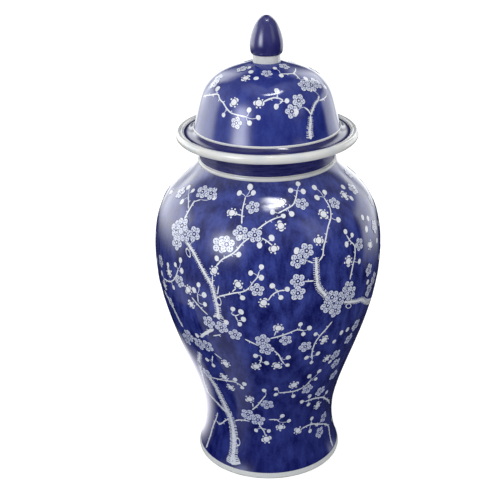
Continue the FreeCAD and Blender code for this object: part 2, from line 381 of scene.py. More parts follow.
def turned(name, outline, materials, paint=None, around=AROUND):
    """Surface of a turned piece: each outline point (r, z) at turn a goes to (r sin a, -r cos a, z).
    The outline either closes on itself, or starts and ends on the axis, where fans close it.
    paint takes the radius and height of each face's middle in the outline, and its number there,
    and gives the face's material."""
    on_axis = outline[0, 0] < 1e-6
    ring = outline[1:-1] if on_axis else outline[:-1]
    loop = np.concatenate([outline, outline[:1]])
    area = (loop[:-1, 0] * loop[1:, 1] - loop[1:, 0] * loop[:-1, 1]).sum()
    if area < 0:
        ring, outline = ring[::-1], outline[::-1]
    turns = np.arange(around) * 2 * pi / around
    points = np.stack([ring[:, :1] * np.sin(turns), -ring[:, :1] * np.cos(turns),
                       np.repeat(ring[:, 1:], around, 1)], -1).reshape(-1, 3)
    rows = np.arange(len(ring) if not on_axis else len(ring) - 1)
    low = rows[:, None] * around + np.arange(around)
    high = ((rows + 1) % len(ring))[:, None] * around + np.arange(around)
    faces = np.stack([low, np.roll(low, -1, 1), np.roll(high, -1, 1), high], -1).reshape(-1, 4)
    middles = (ring[rows] + ring[(rows + 1) % len(ring)]) / 2
    marks = np.zeros(len(rows), int) if paint is None else paint(middles[:, 0], middles[:, 1], rows)
    marks = np.repeat(marks, around)
    faces = faces.tolist()
    if on_axis:
        first, last = len(points), len(points) + 1
        points = np.concatenate([points, [[0, 0, outline[0, 1]], [0, 0, outline[-1, 1]]]])
        near, far = np.arange(around), (len(ring) - 1) * around + np.arange(around)
        faces += np.stack([np.full(around, first), np.roll(near, -1), near], -1).tolist()
        faces += np.stack([np.full(around, last), far, np.roll(far, -1)], -1).tolist()
        marks = np.concatenate([marks, np.full(around, marks[0]), np.full(around, marks[-1])])
    return mesh_object(name, points, faces, materials, marks)


def jar_outline():
    """The whole body in section, from the middle of its underside round to its inside floor."""
    low, high = outline_runs("lower_body")[0], outline_runs("upper_body")[0]
    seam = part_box("upper_body")[0].z
    foot_z, floor_z = low[-1, 1], low[0, 1]
    split = np.where(np.abs(low[:, 1] - seam) < SAME)[0]
    inner, outer = low[:split.min() + 1], low[split.max():]
    loop = high[:-1] if np.allclose(high[0], high[-1]) else high
    seams = np.where(np.abs(loop[:, 1] - seam) < SAME)[0]
    outside = seams[np.argmax(loop[seams, 0])]
    loop = np.roll(loop, -outside, 0)
    if abs(loop[1, 1] - seam) < SAME:
        loop = np.concatenate([loop[:1], loop[:0:-1]])
    whole = np.concatenate([[[0, foot_z]], outer[::-1], loop[1:], inner[::-1][1:], [[0, floor_z]]])
    keep = np.concatenate([[True], np.linalg.norm(np.diff(whole, axis=0), axis=1) > 1e-5])
    return whole[keep]


def whole_outline(node):
    """A node's outline, closed on itself or led level to the axis at both ends."""
    run = outline_runs(node)[0]
    if np.allclose(run[0], run[-1], atol=SAME):
        return run
    ends = [[[0, end[1]]] if end[0] > 1e-6 else np.empty((0, 2)) for end in (run[0], run[-1])]
    return np.concatenate([ends[0], run, ends[1]])


class Skin:
    """The painted outer surface of a turned piece. A place on it is a turn from the front, in
    radians, and a way along the outline from its foot, in metres."""

    def __init__(self, outline):
        self.radius, self.height = outline.T
        self.along = travelled(np.diff(outline, axis=0))
        slope = np.gradient(outline, self.along, axis=0)
        slope /= np.linalg.norm(slope, axis=1)[:, None]
        self.out, self.up = slope[:, 1], -slope[:, 0]

    def at_height(self, height):
        return np.interp(height, self.height, self.along)

    def at_radius(self, radius):
        return np.interp(radius, self.radius[::-1], self.along[::-1])

    def girth(self, along):
        return np.interp(along, self.along, self.radius)

    def walk(self, path):
        """The steps of a path of (turn, way along) rows, as lengths in the skin, and the length
        gone at each row."""
        steps = np.diff(path, axis=0) * np.stack([self.girth(path[1:, 1]), np.ones(len(path) - 1)], -1)
        return steps, travelled(steps)

    def place(self, turn, along, lift):
        """Points and normals: the outline's point pushed out along its normal by the lift, then
        turned about the axis."""
        out, up = np.interp(along, self.along, self.out), np.interp(along, self.along, self.up)
        radius = self.girth(along) + lift * out
        height = np.interp(along, self.along, self.height) + lift * up
        across, front = np.sin(turn), -np.cos(turn)
        points = np.stack([radius * across, radius * front, height], -1)
        return points, np.stack([out * across, out * front, up], -1)


DAB_SUNK = 0.05 * MM         # how far the foot of a dab or a stroke lies under the surface
TOUCH_SUNK = 0.03 * MM       # and the foot of a hoop or a short touch


class Marks:
    """Thin closed shells of one paint on a skin, gathered into one mesh. Their normals are the
    skin's own, so the clear glaze over them shines as one surface."""

    def __init__(self, skin):
        self.skin, self.points, self.normals, self.faces, self.count = skin, [], [], [], 0

    def add(self, turn, along, lift, faces):
        points, normals = self.skin.place(turn, along, lift)
        self.points.append(points.reshape(-1, 3))
        self.normals.append(normals.reshape(-1, 3))
        self.faces.append(faces.reshape(-1, 3) + self.count)
        self.count += points.size // 3

    def stamp(self, shape, turn, along, spin=0.0, size=1.0, stretch=1.0, lift=0.0):
        """Repeats a flat shape of points (across, up, lift) at many places: each copy is scaled,
        stretched upwards, spun in the skin, and wrapped round the jar at each point's own girth."""
        points, faces = shape
        each = np.broadcast_arrays(*map(np.atleast_1d, (turn, along, spin, size, stretch, lift)))
        turn, along, spin, size, stretch, lift = (values.reshape(-1, 1) for values in each)
        across, up = points[:, 0] * size, points[:, 1] * size * stretch
        across, up = across * np.cos(spin) - up * np.sin(spin), across * np.sin(spin) + up * np.cos(spin)
        place = along + up
        where = turn + across / self.skin.girth(place)
        copies = faces[None] + (np.arange(len(turn)) * len(points))[:, None, None]
        self.add(where, place, points[:, 2] + lift, copies)

    def stroke(self, path, widths, lift):
        """A brush stroke along a path of (turn, way along) rows with a width at each row. Each
        row becomes a flat-topped section across the stroke, narrowed to a blunt round at both
        ends, and end faces close it."""
        path, widths = np.asarray(path), np.asarray(widths)
        girth = self.skin.girth(path[:, 1])[:, None]
        steps = np.gradient(path, axis=0) * np.concatenate([girth, np.ones_like(girth)], 1)
        steps /= np.linalg.norm(steps, axis=1)[:, None]
        gone = self.skin.walk(path)[1]
        end = np.minimum(gone, gone[-1] - gone) / np.maximum(widths / 2, 1e-9)
        half = widths / 2 * np.sqrt(np.clip(1 - (1 - np.clip(end, 0.04, 1)) ** 2, 0.05, 1))
        side = np.array([-1, -1, -0.55, 0, 0.55, 1, 1])
        level = np.array([-DAB_SUNK, lift * 0.8, lift, lift, lift, lift * 0.8, -DAB_SUNK])
        off = half[:, None] * side
        turn = path[:, :1] - off * steps[:, 1:] / girth
        along = path[:, 1:] + off * steps[:, :1]
        rows, n = len(path), len(side)
        a = (np.arange(rows - 1)[:, None] * n + np.arange(n)).ravel()
        b = (np.arange(rows - 1)[:, None] * n + (np.arange(n) + 1) % n).ravel()
        quads = np.concatenate([np.stack([a, b, b + n], -1), np.stack([a, b + n, a + n], -1)])[:, ::-1]
        fan = np.stack([np.zeros(n - 2, int), np.arange(1, n - 1), np.arange(2, n)], -1)
        faces = np.concatenate([quads, fan, fan[:, ::-1] + (rows - 1) * n])
        self.add(turn, along, np.broadcast_to(level, turn.shape), faces)

    def build(self, name, made, body, slot):
        piece = mesh_object(name, np.concatenate(self.points), np.concatenate(self.faces), [made],
                            normals=np.concatenate(self.normals))
        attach(piece, body)
        return piece


def disc(radius, lift, sides=10, wobble=0.0):
    """A round dab: a fan over a rim, a short side and a fan under it. The rim's radius swells
    and shrinks three times round by the wobble."""
    turns = np.arange(sides) * 2 * pi / sides
    reach = radius * (1 + wobble * np.sin(3 * turns + 0.7))
    rim = np.stack([reach * np.cos(turns), reach * np.sin(turns)], -1)
    points = np.concatenate([[[0, 0, lift]], np.c_[rim, np.full(sides, lift * 0.85)],
                             np.c_[rim, np.full(sides, -DAB_SUNK)], [[0, 0, -DAB_SUNK]]])
    k = np.arange(sides)
    ahead = (k + 1) % sides
    top = np.stack([np.zeros(sides, int), 1 + k, 1 + ahead], -1)
    side_a = np.stack([1 + k, 1 + sides + k, 1 + sides + ahead], -1)
    side_b = np.stack([1 + k, 1 + sides + ahead, 1 + ahead], -1)
    under = np.stack([np.full(sides, 1 + 2 * sides), 1 + sides + ahead, 1 + sides + k], -1)
    return points, np.concatenate([top, side_a, side_b, under])


def hoop(radius, width, lift, sides=12, tall=1.0):
    """An outlined round: a band of three-cornered section carried round a circle, or round an
    oval where tall isn't 1."""
    turns = np.arange(sides) * 2 * pi / sides
    reach = np.array([radius + width / 2, radius, radius - width / 2])
    level = np.array([-TOUCH_SUNK, lift, -TOUCH_SUNK])
    points = np.stack([reach * np.cos(turns)[:, None], reach * np.sin(turns)[:, None] * tall,
                       np.broadcast_to(level, (sides, 3))], -1).reshape(-1, 3)
    k = (np.arange(sides)[:, None] * 3 + np.arange(3)).ravel()
    nxt = (np.arange(sides)[:, None] * 3 + (np.arange(3) + 1) % 3).ravel()
    far, far_nxt = (k + 3) % (3 * sides), (nxt + 3) % (3 * sides)
    return points, np.concatenate([np.stack([k, far, far_nxt], -1), np.stack([k, far_nxt, nxt], -1)])


def dash(length, width, lift):
    """A short touch of the brush tip: a low four-sided peak on a narrow base."""
    x, y = width / 2, length / 2
    corners = np.array([[-x, -y], [x, -y], [x, y], [-x, y]])
    points = np.concatenate([np.c_[corners, np.full(4, -TOUCH_SUNK)], np.c_[corners * 0.8, np.full(4, lift)]])
    faces = np.array([[0, 2, 1], [0, 3, 2], [4, 5, 6], [4, 6, 7], [0, 1, 5], [0, 5, 4], [1, 2, 6], [1, 6, 5],
                      [2, 3, 7], [2, 7, 6], [3, 0, 4], [3, 4, 7]])
    return points, faces


# The plum blossom pattern ------------------------------------------------------------------------
#
# Places are (turn, height): degrees from the front, positive to the right, and millimetres above
# the floor. A limb is (width at its start, width at its end, its places).

TRUNK_LIMBS = {
    "elbow_tree": [
        (3.4, 4.4, [(-46, 266), (-42, 262), (-38, 256), (-34, 247), (-30, 237), (-27, 228), (-26, 219),
                    (-25, 207), (-25, 199)]),
        (4.2, 8.2, [(-25, 202), (-25, 198), (-25, 195)]),
    ],
    "middle_tree": [
        (4.6, 4.0, [(30, 214), (27, 222), (24, 231), (23.5, 240), (23.5, 258)]),
        (3.4, 4.4, [(40, 205), (45, 202), (50, 199), (55, 197), (60, 191), (65, 186), (72, 181)]),
    ],
    "slant_tree": [
        (3.2, 3.4, [(-68, 197), (-60, 187), (-57, 176), (-54, 167)]),
        (4.0, 4.6, [(-45, 143), (-47, 136), (-50, 128), (-52, 120), (-55, 103), (-57, 92), (-57, 80)]),
    ],
    "foot_tree": [
        (12.0, 6.4, [(-31, 9), (-31.5, 14), (-32, 20)]),
        (6.8, 5.0, [(-32, 16), (-32, 35), (-33, 50), (-34, 60), (-36, 68), (-38, 78), (-40, 90), (-42, 103),
                    (-45, 111)]),
        (3.6, 3.2, [(-38, 68), (-43, 72), (-50, 77), (-56, 81)]),
    ],
}

TWIGS = {
    "shoulder_left": [
        (3.2, 2.2, [(-50, 277), (-50, 284), (-50, 290), (-50, 297)]),
        (1.8, 1.4, [(-51, 290), (-55, 295), (-60, 299)]),
        (1.7, 1.4, [(-50, 296), (-46, 299)]),
    ],
    "elbow_twigs": [
        (2.2, 1.4, [(-24, 220), (-16, 226), (-11, 229), (-9, 232), (-7, 238), (-5, 243), (-4, 249)]),
        (1.9, 1.6, [(-27, 229), (-27, 240)]),
        (2.0, 2.0, [(-25, 250), (-22, 257), (-18, 262), (-15, 267), (-12.5, 273), (-9, 278)]),
        (1.7, 1.4, [(-17, 263), (-13, 263)]),
        (1.8, 1.4, [(-17, 227), (-15, 231)]),
        (1.7, 1.2, [(-24.5, 222), (-23.7, 231)]),
        (2.0, 1.6, [(-40, 211), (-37, 206), (-34, 201), (-31, 197)]),
        (1.8, 1.4, [(-36, 217), (-36, 208)]),
    ],
    "middle_twigs": [
        (2.0, 1.5, [(-14, 288), (-15, 297), (-15, 307)]),
        (1.6, 1.3, [(-15, 294), (-20, 295)]),
        (2.0, 1.5, [(-7, 282), (-4, 286), (0, 290), (3, 292), (9, 294)]),
        (1.8, 1.5, [(-3, 278), (0, 275), (2, 272)]),
        (2.1, 1.6, [(6, 296), (12, 299), (16, 301), (19, 305), (22, 311)]),
    ],
    "right_twigs": [
        (2.2, 1.5, [(25, 254), (27, 258), (28, 265), (30, 272), (33, 281), (37, 288), (39, 294), (39, 302)]),
        (2.3, 1.7, [(43, 227), (44, 234), (45, 240), (47, 250), (47, 259), (45, 263), (43, 270)]),
        (2.0, 1.6, [(22, 236), (17, 237)]),
        (1.9, 1.6, [(22, 253), (19, 256)]),
        (2.0, 1.5, [(8, 230), (6, 230), (2, 226), (0, 220)]),
        (1.8, 1.5, [(44, 210), (46, 203)]),
    ],
    "left_edge": [
        (1.8, 1.9, [(-65, 213), (-56, 217), (-52, 223), (-50, 229), (-49, 234)]),
    ],
    "girdle": [
        (1.7, 1.5, [(-18, 204), (-16, 202), (-14, 204)]),
        (1.6, 1.4, [(-16, 202), (-15, 197)]),
        (5.2, 4.4, [(-29, 182), (-33, 176), (-37, 170), (-39, 166)]),
        (1.8, 1.5, [(-30, 173), (-25, 177)]),
        (1.8, 1.5, [(-32, 150), (-28, 145)]),
        (1.8, 1.5, [(-34, 146), (-36, 137)]),
        (2.2, 1.8, [(-12, 176), (-8, 172), (-5, 169)]),
        (2.2, 1.7, [(1, 178), (5, 180), (10, 183), (15, 186), (18, 184)]),
        (1.7, 1.4, [(3, 181), (4, 187)]),
        (2.0, 1.6, [(3, 163), (6, 156), (7, 151), (9, 145)]),
        (1.9, 1.6, [(-4, 156), (-4, 151), (-5, 146)]),
        (2.3, 1.8, [(34, 187), (31, 180), (28, 174), (26, 168), (25, 160), (25, 152), (26, 145)]),
    ],
    "waist": [
        (2.2, 1.7, [(-42, 112), (-30, 115), (-22, 116), (-17, 111)]),
        (2.2, 1.7, [(-13, 80), (-8, 88), (-5, 95), (-2, 102)]),
        (1.7, 1.4, [(-12, 84), (-12, 90)]),
        (2.3, 2.0, [(7, 105), (12, 105), (18, 105), (23, 107), (27, 111), (29, 116)]),
        (2.4, 2.6, [(29, 86), (36, 86), (42, 84), (48, 81), (55, 74), (62, 67), (67, 60)]),
    ],
    "foot": [
        (2.0, 1.7, [(-30, 60), (-25, 63), (-16, 64)]),
        (1.9, 2.3, [(-36, 60), (-41, 55), (-46, 49), (-50, 46), (-53, 48)]),
        (2.0, 3.4, [(-50, 60), (-53, 52), (-56, 46), (-60, 37), (-63, 26), (-65, 16), (-66, 8)]),
        (2.4, 3.4, [(58, 41), (64, 36), (68, 31), (68, 20), (68, 8)]),
        (1.8, 1.4, [(-9, 64), (-7, 58), (-4, 52), (-3, 47)]),
        (1.5, 1.3, [(-6, 56), (-2, 55)]),
        (2.0, 1.6, [(0, 68), (7, 67), (9, 64)]),
        (2.1, 2.4, [(30, 50), (36, 51), (42, 50), (47, 47), (58, 41)]),
        (2.2, 1.5, [(-34, 64), (-32, 71)]),
    ],
}

BLOSSOMS = [
    (-49, 304), (-41, 305), (-68, 296), (-54, 271), (-46, 270), (-50, 276), (-50, 265), (-40, 273),
    (-51, 260), (-24, 269.5), (-20.5, 270.5), (-5, 231), (-14, 281), (-6.5, 280), (-9, 300), (22, 301),
    (19, 265), (14, 257), (14, 238), (14, 226), (44, 296), (30, 207), (37, 210), (35, 199), (42, 219),
    (44, 212), (32, 215), (51, 257), (69, 298), (59, 226), (67, 210), (62, 202), (70, 262), (-48, 223),
    (-67, 230), (-31, 189), (-24, 186), (-17, 180), (-42, 156), (-36, 157), (-50, 160), (-55, 152),
    (-61, 190), (-3, 176), (-1, 165), (9, 175), (20, 164), (56, 167), (53, 153), (48, 126), (44, 140),
    (-46, 115), (-1, 89), (28, 104), (42, 93), (52, 108), (-17, 73), (-9, 67), (51, 35), (57, 50),
]

HALF_OPEN = [
    (-26, 245), (-14, 235), (-21, 295), (9, 303), (7, 287), (3, 269), (26, 272), (-2, 218), (33, 291),
    (42, 246), (56, 298), (61, 250), (-57, 226), (-65, 206), (-42, 218), (-41, 203), (-26, 140), (5, 190),
    (5, 143), (-7, 142), (31, 167), (37, 140), (-30, 120), (-27, 107), (-14, 95), (17, 114), (44, 73),
    (10, 57), (-2, 43), (26, 49),
]

BUDS = [
    (-58, 302), (-65, 302), (-60, 292), (-37, 303), (-40, 268), (-48, 279), (-25, 257), (-3, 253), (-8, 247),
    (-3, 243), (-12, 222), (-14, 278), (-13, 314), (-10, 310), (-20, 309), (3, 297), (9, 294), (14, 295),
    (2, 278), (-4, 272), (-14, 263), (17, 311), (24, 315), (26, 309), (14, 266), (17, 256), (9, 231),
    (2, 235), (6, 223), (34, 303), (36, 310), (42, 305), (41, 284), (34, 218), (43, 273), (47, 268),
    (42, 262), (50, 241), (61, 303), (60, 294), (60, 277), (65, 273), (60, 266), (59, 213), (71, 247),
    (43, 213), (-47, 245), (-51, 238), (-46, 235), (-58, 233), (-67, 217), (-54, 212), (-38, 220), (-35, 227),
    (-32, 218), (-32, 208), (-17, 209), (-13, 207), (-12, 199), (-14, 193), (-21, 193), (-42, 166),
    (-40, 137), (-36, 132), (16, 192), (21, 186), (18, 180), (11, 153), (11, 143), (-7, 156), (-1, 147),
    (25, 177), (22, 149), (29, 151), (26, 141), (39, 160), (43, 168), (48, 168), (41, 133), (-22, 120),
    (-16, 116), (-18, 110), (-4, 89), (-3, 109), (5, 111), (5, 103), (18, 98), (32, 92), (33, 115), (27, 122),
    (34, 125), (26, 87), (33, 80), (52, 85), (-20, 69), (11, 72), (17, 64), (-11, 53), (0, 53), (40, 58),
    (39, 43), (48, 46),
]

KNOTS = [(-42, 255, 40), (-24, 215, 8), (44, 198, 60), (-28, 35, 5), (-51, 124, 15)]

LID_LIMBS = [
    (5.6, 3.4, [(35, 355.5), (35, 362), (37, 370), (38, 376)]),
    (3.0, 2.2, [(38, 376), (41, 380), (46, 385), (51, 387), (54, 390)]),
]
LID_TWIGS = [
    (2.0, 1.8, [(-75, 385), (-70, 387), (-60, 390), (-50, 392), (-46, 389), (-41, 387), (-36, 383),
                (-31, 380), (-25, 379), (-17, 378)]),
    (2.3, 1.9, [(-3, 391), (2, 393), (7, 394), (12, 393), (14, 392), (11, 389)]),
    (1.7, 1.4, [(9, 393), (10, 396)]),
    (2.2, 1.8, [(38, 377), (37, 380), (33, 384)]),
    (2.0, 1.8, [(52, 386), (59, 386), (66, 387)]),
]
LID_BLOSSOMS = [(-25, 372), (-68, 398), (29, 390), (21, 382)]
LID_HALF_OPEN = [(-30, 389), (-7, 390)]
LID_BUDS = [(-15, 384), (-14, 373), (-7, 378), (-38, 377), (-57, 396), (10, 399), (8, 387), (18, 391),
            (25, 381), (73, 393)]

# On the crown, places are (turn, radius).
CROWN_TWIGS = [
    (2.0, 1.7, [(23, 31), (30, 32), (37, 33), (45, 34), (45, 43)]),
    (1.8, 1.5, [(45, 34), (59, 31), (67, 29)]),
]
CROWN_BLOSSOMS = [(0, 29), (51, 21), (43, 50), (53, 51), (62, 51), (-58, 27), (-73, 47)]
CROWN_HALF_OPEN = [(-30, 38)]
CROWN_BUDS = [(-31, 28), (-15, 37), (21, 21), (23, 34), (-48, 22), (54, 44), (47, 54), (-56, 54)]

# Between the two painted faces, at the sides.
SIDE_TWIGS = [
    (2.2, 1.6, [(84, 240), (88, 250), (93, 258)]),
    (2.2, 1.7, [(82, 150), (88, 156), (95, 158)]),
    (2.0, 1.6, [(84, 70), (90, 78), (94, 88)]),
]
SIDE_BLOSSOMS = [(82, 280), (93, 268), (90, 224), (98, 200), (84, 178), (96, 168), (86, 132), (95, 108),
                 (84, 96), (88, 50), (84, 305)]
SIDE_HALF_OPEN = [(99, 290), (81, 206), (98, 138), (97, 62)]
SIDE_BUDS = [(90, 296), (80, 258), (98, 246), (88, 262), (92, 210), (101, 182), (80, 160), (90, 144),
             (80, 118), (101, 122), (99, 92), (80, 76), (93, 38), (82, 30), (76, 226), (102, 222)]


PATH_STEP = 1.6 * MM         # from one section of a stroke to the next
TWIG_SHARE = 0.66            # a twig's drawn width, as a share of the one in the tables
TRUNK_SHARE = 0.62           # the solid middle of a trunk, inside its comb of bark
LINE_LIFT = 0.16 * MM        # how far a drawn line stands off the surface
STALK_LIFT = 0.11 * MM
STALK_W = 0.62 * MM
STALK_REACH = (3.4 * MM, 15 * MM)    # a bud this far from a stem gets a stalk
CLUSTER_GAP, LONE_GAP = 9 * MM, 17 * MM
FLOWER_W = 15.6              # width, in millimetres, at which a blossom's own sizes are given
CUP_W = 4.8                  # and the same for a half-open flower
PETAL_REACH = 4.6            # from a blossom's middle to its petals' middles
CUP_PETALS = ((0.3, 2.95, 2.2), (3.3, 2.9, 2.25), (1.45, 4.3, 0.85), (2.2, 4.3, 0.7), (-1.2, 4.3, 0.9),
              (-2.1, 4.3, 0.75))     # the petals round a cup: angle in radians, reach and radius
VEINS = ((-0.3, 4.2), (0.0, 5.6), (0.3, 4.2))    # a petal's touches: lean in radians, and reach


def curved(places, skin, by_radius=False):
    """A smooth path through a limb's places on a skin: a cubic through every place, its slope
    there taken from the two beside it."""
    places = np.array(places, float)
    turn = np.radians(places[:, 0])
    along = (skin.at_radius if by_radius else skin.at_height)(places[:, 1] * MM)
    girth = skin.girth(along).mean()
    flat = np.stack([turn * girth, along], -1)
    knots = travelled(np.diff(flat, axis=0))
    lengths = np.diff(knots)
    slopes = (np.gradient(flat, knots, axis=0) if len(knots) > 2
              else np.repeat((flat[1:] - flat[:1]) / knots[1], 2, 0))
    at = np.linspace(0, knots[-1], max(5, ceil(knots[-1] / PATH_STEP)))
    k = np.clip(np.searchsorted(knots, at, side="right") - 1, 0, len(lengths) - 1)
    t, span = ((at - knots[k]) / lengths[k])[:, None], lengths[k][:, None]
    path = cubic(t, flat[k], flat[k + 1], slopes[k], slopes[k + 1], span)
    return np.stack([path[:, 0] / girth, path[:, 1]], -1), at / knots[-1]


class Pattern:
    """Everything painted on one skin, sorted into one set of marks for each paint."""

    def __init__(self, skin, blossom, bud, seed):
        self.skin, self.blossom, self.bud = skin, blossom, bud
        self.chance = np.random.default_rng(seed)
        self.line, self.wash, self.dark = (Marks(skin) for _ in range(3))
        self.stems = []

    def limb(self, start, end, places, by_radius=False, bark=False):
        path, gone = curved(places, self.skin, by_radius)
        widths = (start + (end - start) * gone) * (1.0 if bark else TWIG_SHARE) * MM
        uneven = 1 + 0.10 * np.sin(gone * 19 + start * 7) + 0.06 * np.sin(gone * 47 + end * 3)
        self.line.stroke(path, widths * uneven * (TRUNK_SHARE if bark else 1.0), LINE_LIFT)
        self.stems.append(path)
        if bark:
            self._bark(path, widths)
        else:
            self._thorns(path, widths)

    def _edges(self, path, spacing, jitter=0.25):
        """Places every so far along a path, with the path's direction at each."""
        flat, gone = self.skin.walk(path)
        at = np.arange(spacing, gone[-1] - spacing / 2, spacing)
        at = at + self.chance.uniform(-jitter, jitter, len(at)) * spacing
        turn, along = np.interp(at, gone, path[:, 0]), np.interp(at, gone, path[:, 1])
        heading = np.arctan2(np.interp(at, gone[1:], flat[:, 1] / np.diff(gone)),
                             np.interp(at, gone[1:], flat[:, 0] / np.diff(gone)))
        return turn, along, heading, at / gone[-1]

    def _beside(self, turn, along, heading, off):
        """Places moved off to the left of their headings."""
        return turn - off * np.sin(heading) / self.skin.girth(along), along + off * np.cos(heading)

    def _bark(self, path, widths):
        """Comb-like touches off both edges of a trunk, and dark dots along its middle."""
        shares = np.linspace(0, 1, len(widths))
        for side in (-1, 1):
            turn, along, heading, gone = self._edges(path, 1.8 * MM)
            wide = np.interp(gone, shares, widths)
            turn, along = self._beside(turn, along, heading, side * wide * 0.48)
            self.line.stamp(dash(3.1 * MM, 0.66 * MM, 0.15 * MM), turn, along, heading - side * 0.3,
                            wide / (5 * MM) * self.chance.uniform(0.8, 1.2, len(turn)))
        turn, along, heading, gone = self._edges(path, 2.6 * MM, 0.4)
        wide = np.interp(gone, shares, widths)
        off = self.chance.uniform(-0.32, 0.32, len(turn)) * wide
        turn, along = self._beside(turn, along, heading, off)
        keep = wide > 3.9 * MM
        if keep.any():
            self.dark.stamp(dash(1.5 * MM, 0.5 * MM, 0.24 * MM), turn[keep], along[keep], heading[keep] + 0.6,
                            self.chance.uniform(0.5, 1.0, keep.sum()))

    def _thorns(self, path, widths):
        """Small stubs that stand off a twig, now on one side and now on the other."""
        turn, along, heading, gone = self._edges(path, 6.5 * MM)
        if len(turn) == 0:
            return
        side = np.where(np.arange(len(turn)) % 2, 1, -1)
        turn, along = self._beside(turn, along, heading, side * (widths.mean() / 2 + 0.6 * MM))
        self.line.stamp(dash(2.2 * MM, 0.8 * MM, 0.15 * MM), turn, along, heading - side * 0.45,
                        self.chance.uniform(0.7, 1.1, len(turn)))

    def _spots(self, places, by_radius):
        places = np.array(places, float)
        find = self.skin.at_radius if by_radius else self.skin.at_height
        return np.radians(places[:, 0]), find(places[:, 1] * MM)

    def _round(self, turn, along, spin, reach):
        """Places at a reach from the middles, at an angle in the skin."""
        up = reach * np.sin(spin)
        return turn + reach * np.cos(spin) / self.skin.girth(along + up), along + up

    def blossoms(self, places, by_radius=False):
        """Five round petals, each laid partly over the one before: a dark edge, a pale wash, a white
        outline and three dark touches. In the middle is a dark eye with a white dot. A blossom that
        stands by itself is smaller than those in a cluster, and the clustered ones lie over each
        other."""
        turn, along = self._spots(places, by_radius)
        apart = np.hypot((turn[:, None] - turn) * self.skin.girth(along)[:, None], along[:, None] - along)
        near = np.sort(apart, axis=1)[:, 1]
        size = self.blossom / FLOWER_W * np.interp(near, [CLUSTER_GAP, LONE_GAP], [1.04, 0.86])
        size = size * self.chance.uniform(0.95, 1.05, len(turn))
        spin = self.chance.uniform(0, 2 * pi, len(turn))
        step = (np.arange(len(turn)) % 3) * 0.11 * MM
        self.wash.stamp(disc(2.8, 0.06 * MM, 10), turn, along, spin, size, lift=step)
        for k in range(5):
            over = step + k * 0.02 * MM
            way = spin + k * 2 * pi / 5 + self.chance.uniform(-0.07, 0.07, len(turn))
            t, a = self._round(turn, along, way, PETAL_REACH * size)
            large = size * self.chance.uniform(0.94, 1.06, len(turn))
            self.dark.stamp(disc(3.45, 0.07 * MM, 11), t, a, way, large, lift=over)
            self.wash.stamp(disc(2.85, 0.076 * MM, 11), t, a, way, large, lift=over)
            self.line.stamp(hoop(2.75, 0.85, 0.082 * MM, 12), t, a, way, large, lift=over)
            for lean, far in VEINS:
                t, a = self._round(turn, along, way + lean, far * size)
                self.dark.stamp(dash(1.8, 0.8, 0.088 * MM), t, a, way + pi / 2 + lean * 1.6, size, lift=over)
        self.dark.stamp(disc(2.35, 0.175 * MM, 10), turn, along, spin, size, lift=step)
        self.line.stamp(disc(1.0, 0.19 * MM, 8), turn, along, spin, size, lift=step)

    def half_open(self, places, by_radius=False):
        """A round white cup, with two petals that show as crescents behind it and small ones that
        show as dots between them."""
        turn, along = self._spots(places, by_radius)
        size = self.bud / CUP_W * self.chance.uniform(0.95, 1.1, len(turn))
        spin = self.chance.uniform(0, 2 * pi, len(turn))
        for way, reach, large in CUP_PETALS:
            t, a = self._round(turn, along, spin + way, reach * size)
            self.line.stamp(disc(large, 0.11 * MM, 10), t, a, spin, size)
        self.dark.stamp(disc(3.55, 0.15 * MM, 14), turn, along, spin, size)
        self.line.stamp(disc(2.95, 0.20 * MM, 14, 0.04), turn, along, spin, size)

    def buds(self, places, by_radius=False):
        """Round buds, some a little tall, each on a thin stalk from the nearest stem."""
        turn, along = self._spots(places, by_radius)
        size = self.bud / 2 * self.chance.uniform(0.9, 1.12, len(turn))
        if not by_radius:
            size = size * np.interp(along, self.skin.at_height(np.array([60, 240]) * MM), [0.86, 1.0])
        tall = self.chance.uniform(1.0, 1.28, len(turn))
        spin = self.chance.uniform(-0.6, 0.6, len(turn))
        self.line.stamp(disc(1.0, 0.18 * MM, 11, 0.03), turn, along, spin, size, tall)
        self._stalks(turn, along)

    def _stalks(self, turn, along):
        """A thin curved stalk to each bud from the nearest point of a stem, where one is near."""
        stems = np.concatenate(self.stems)
        for t, a in zip(turn, along):
            girth = self.skin.girth(a)
            way = np.stack([(stems[:, 0] - t) * girth, stems[:, 1] - a], -1)
            far = np.linalg.norm(way, axis=1)
            near = far.argmin()
            if STALK_REACH[0] < far[near] < STALK_REACH[1]:
                s = np.linspace(0, 1, 7)[:, None]
                bow = np.array([-way[near, 1], way[near, 0]]) * 0.12 * np.sin(pi * s)
                path = way[near] * (1 - s) + bow
                path = np.stack([t + path[:, 0] / girth, a + path[:, 1]], -1)
                self.wash.stroke(path, np.full(7, STALK_W), STALK_LIFT)

    def knots(self, places):
        """Oval knots in the bark: a white hoop with a dark inside."""
        for turn, height, spin in places:
            t, a = radians(turn), self.skin.at_height(height * MM)
            self.line.stamp(hoop(2.2 * MM, 0.8 * MM, 0.24 * MM, 14, 1.9), t, a, radians(spin))
            self.dark.stamp(disc(1.8 * MM, 0.20 * MM, 10), t, a, radians(spin), 1.0, 1.9)


def turned_back(places):
    """The same places on the back of the jar, shifted a little so the two sides aren't twins."""
    places = np.array(places, float)
    shift = np.stack([4 * np.sin(places[:, 1] * 0.31), 3 * np.sin(places[:, 0] * 0.23)], -1)
    return places + HALF_TURN + shift


def limb_and_back(limbs):
    """Each limb, and then the same one on the back."""
    for start, end, places in limbs:
        yield start, end, places
        yield start, end, np.array(places, float) + HALF_TURN


def and_opposite(places):
    """The places, and the same ones half a turn round."""
    places = np.array(places, float)
    return np.concatenate([places, places + HALF_TURN])


# Operators ---------------------------------------------------------------------------------------

def settings():
    scene = bpy.context.scene
    return scene.jar_glaze, scene.jar_pattern, scene.jar_stage


def finish_piece(piece, body, slot, *nodes):
    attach(piece, body)
    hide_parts(*nodes)


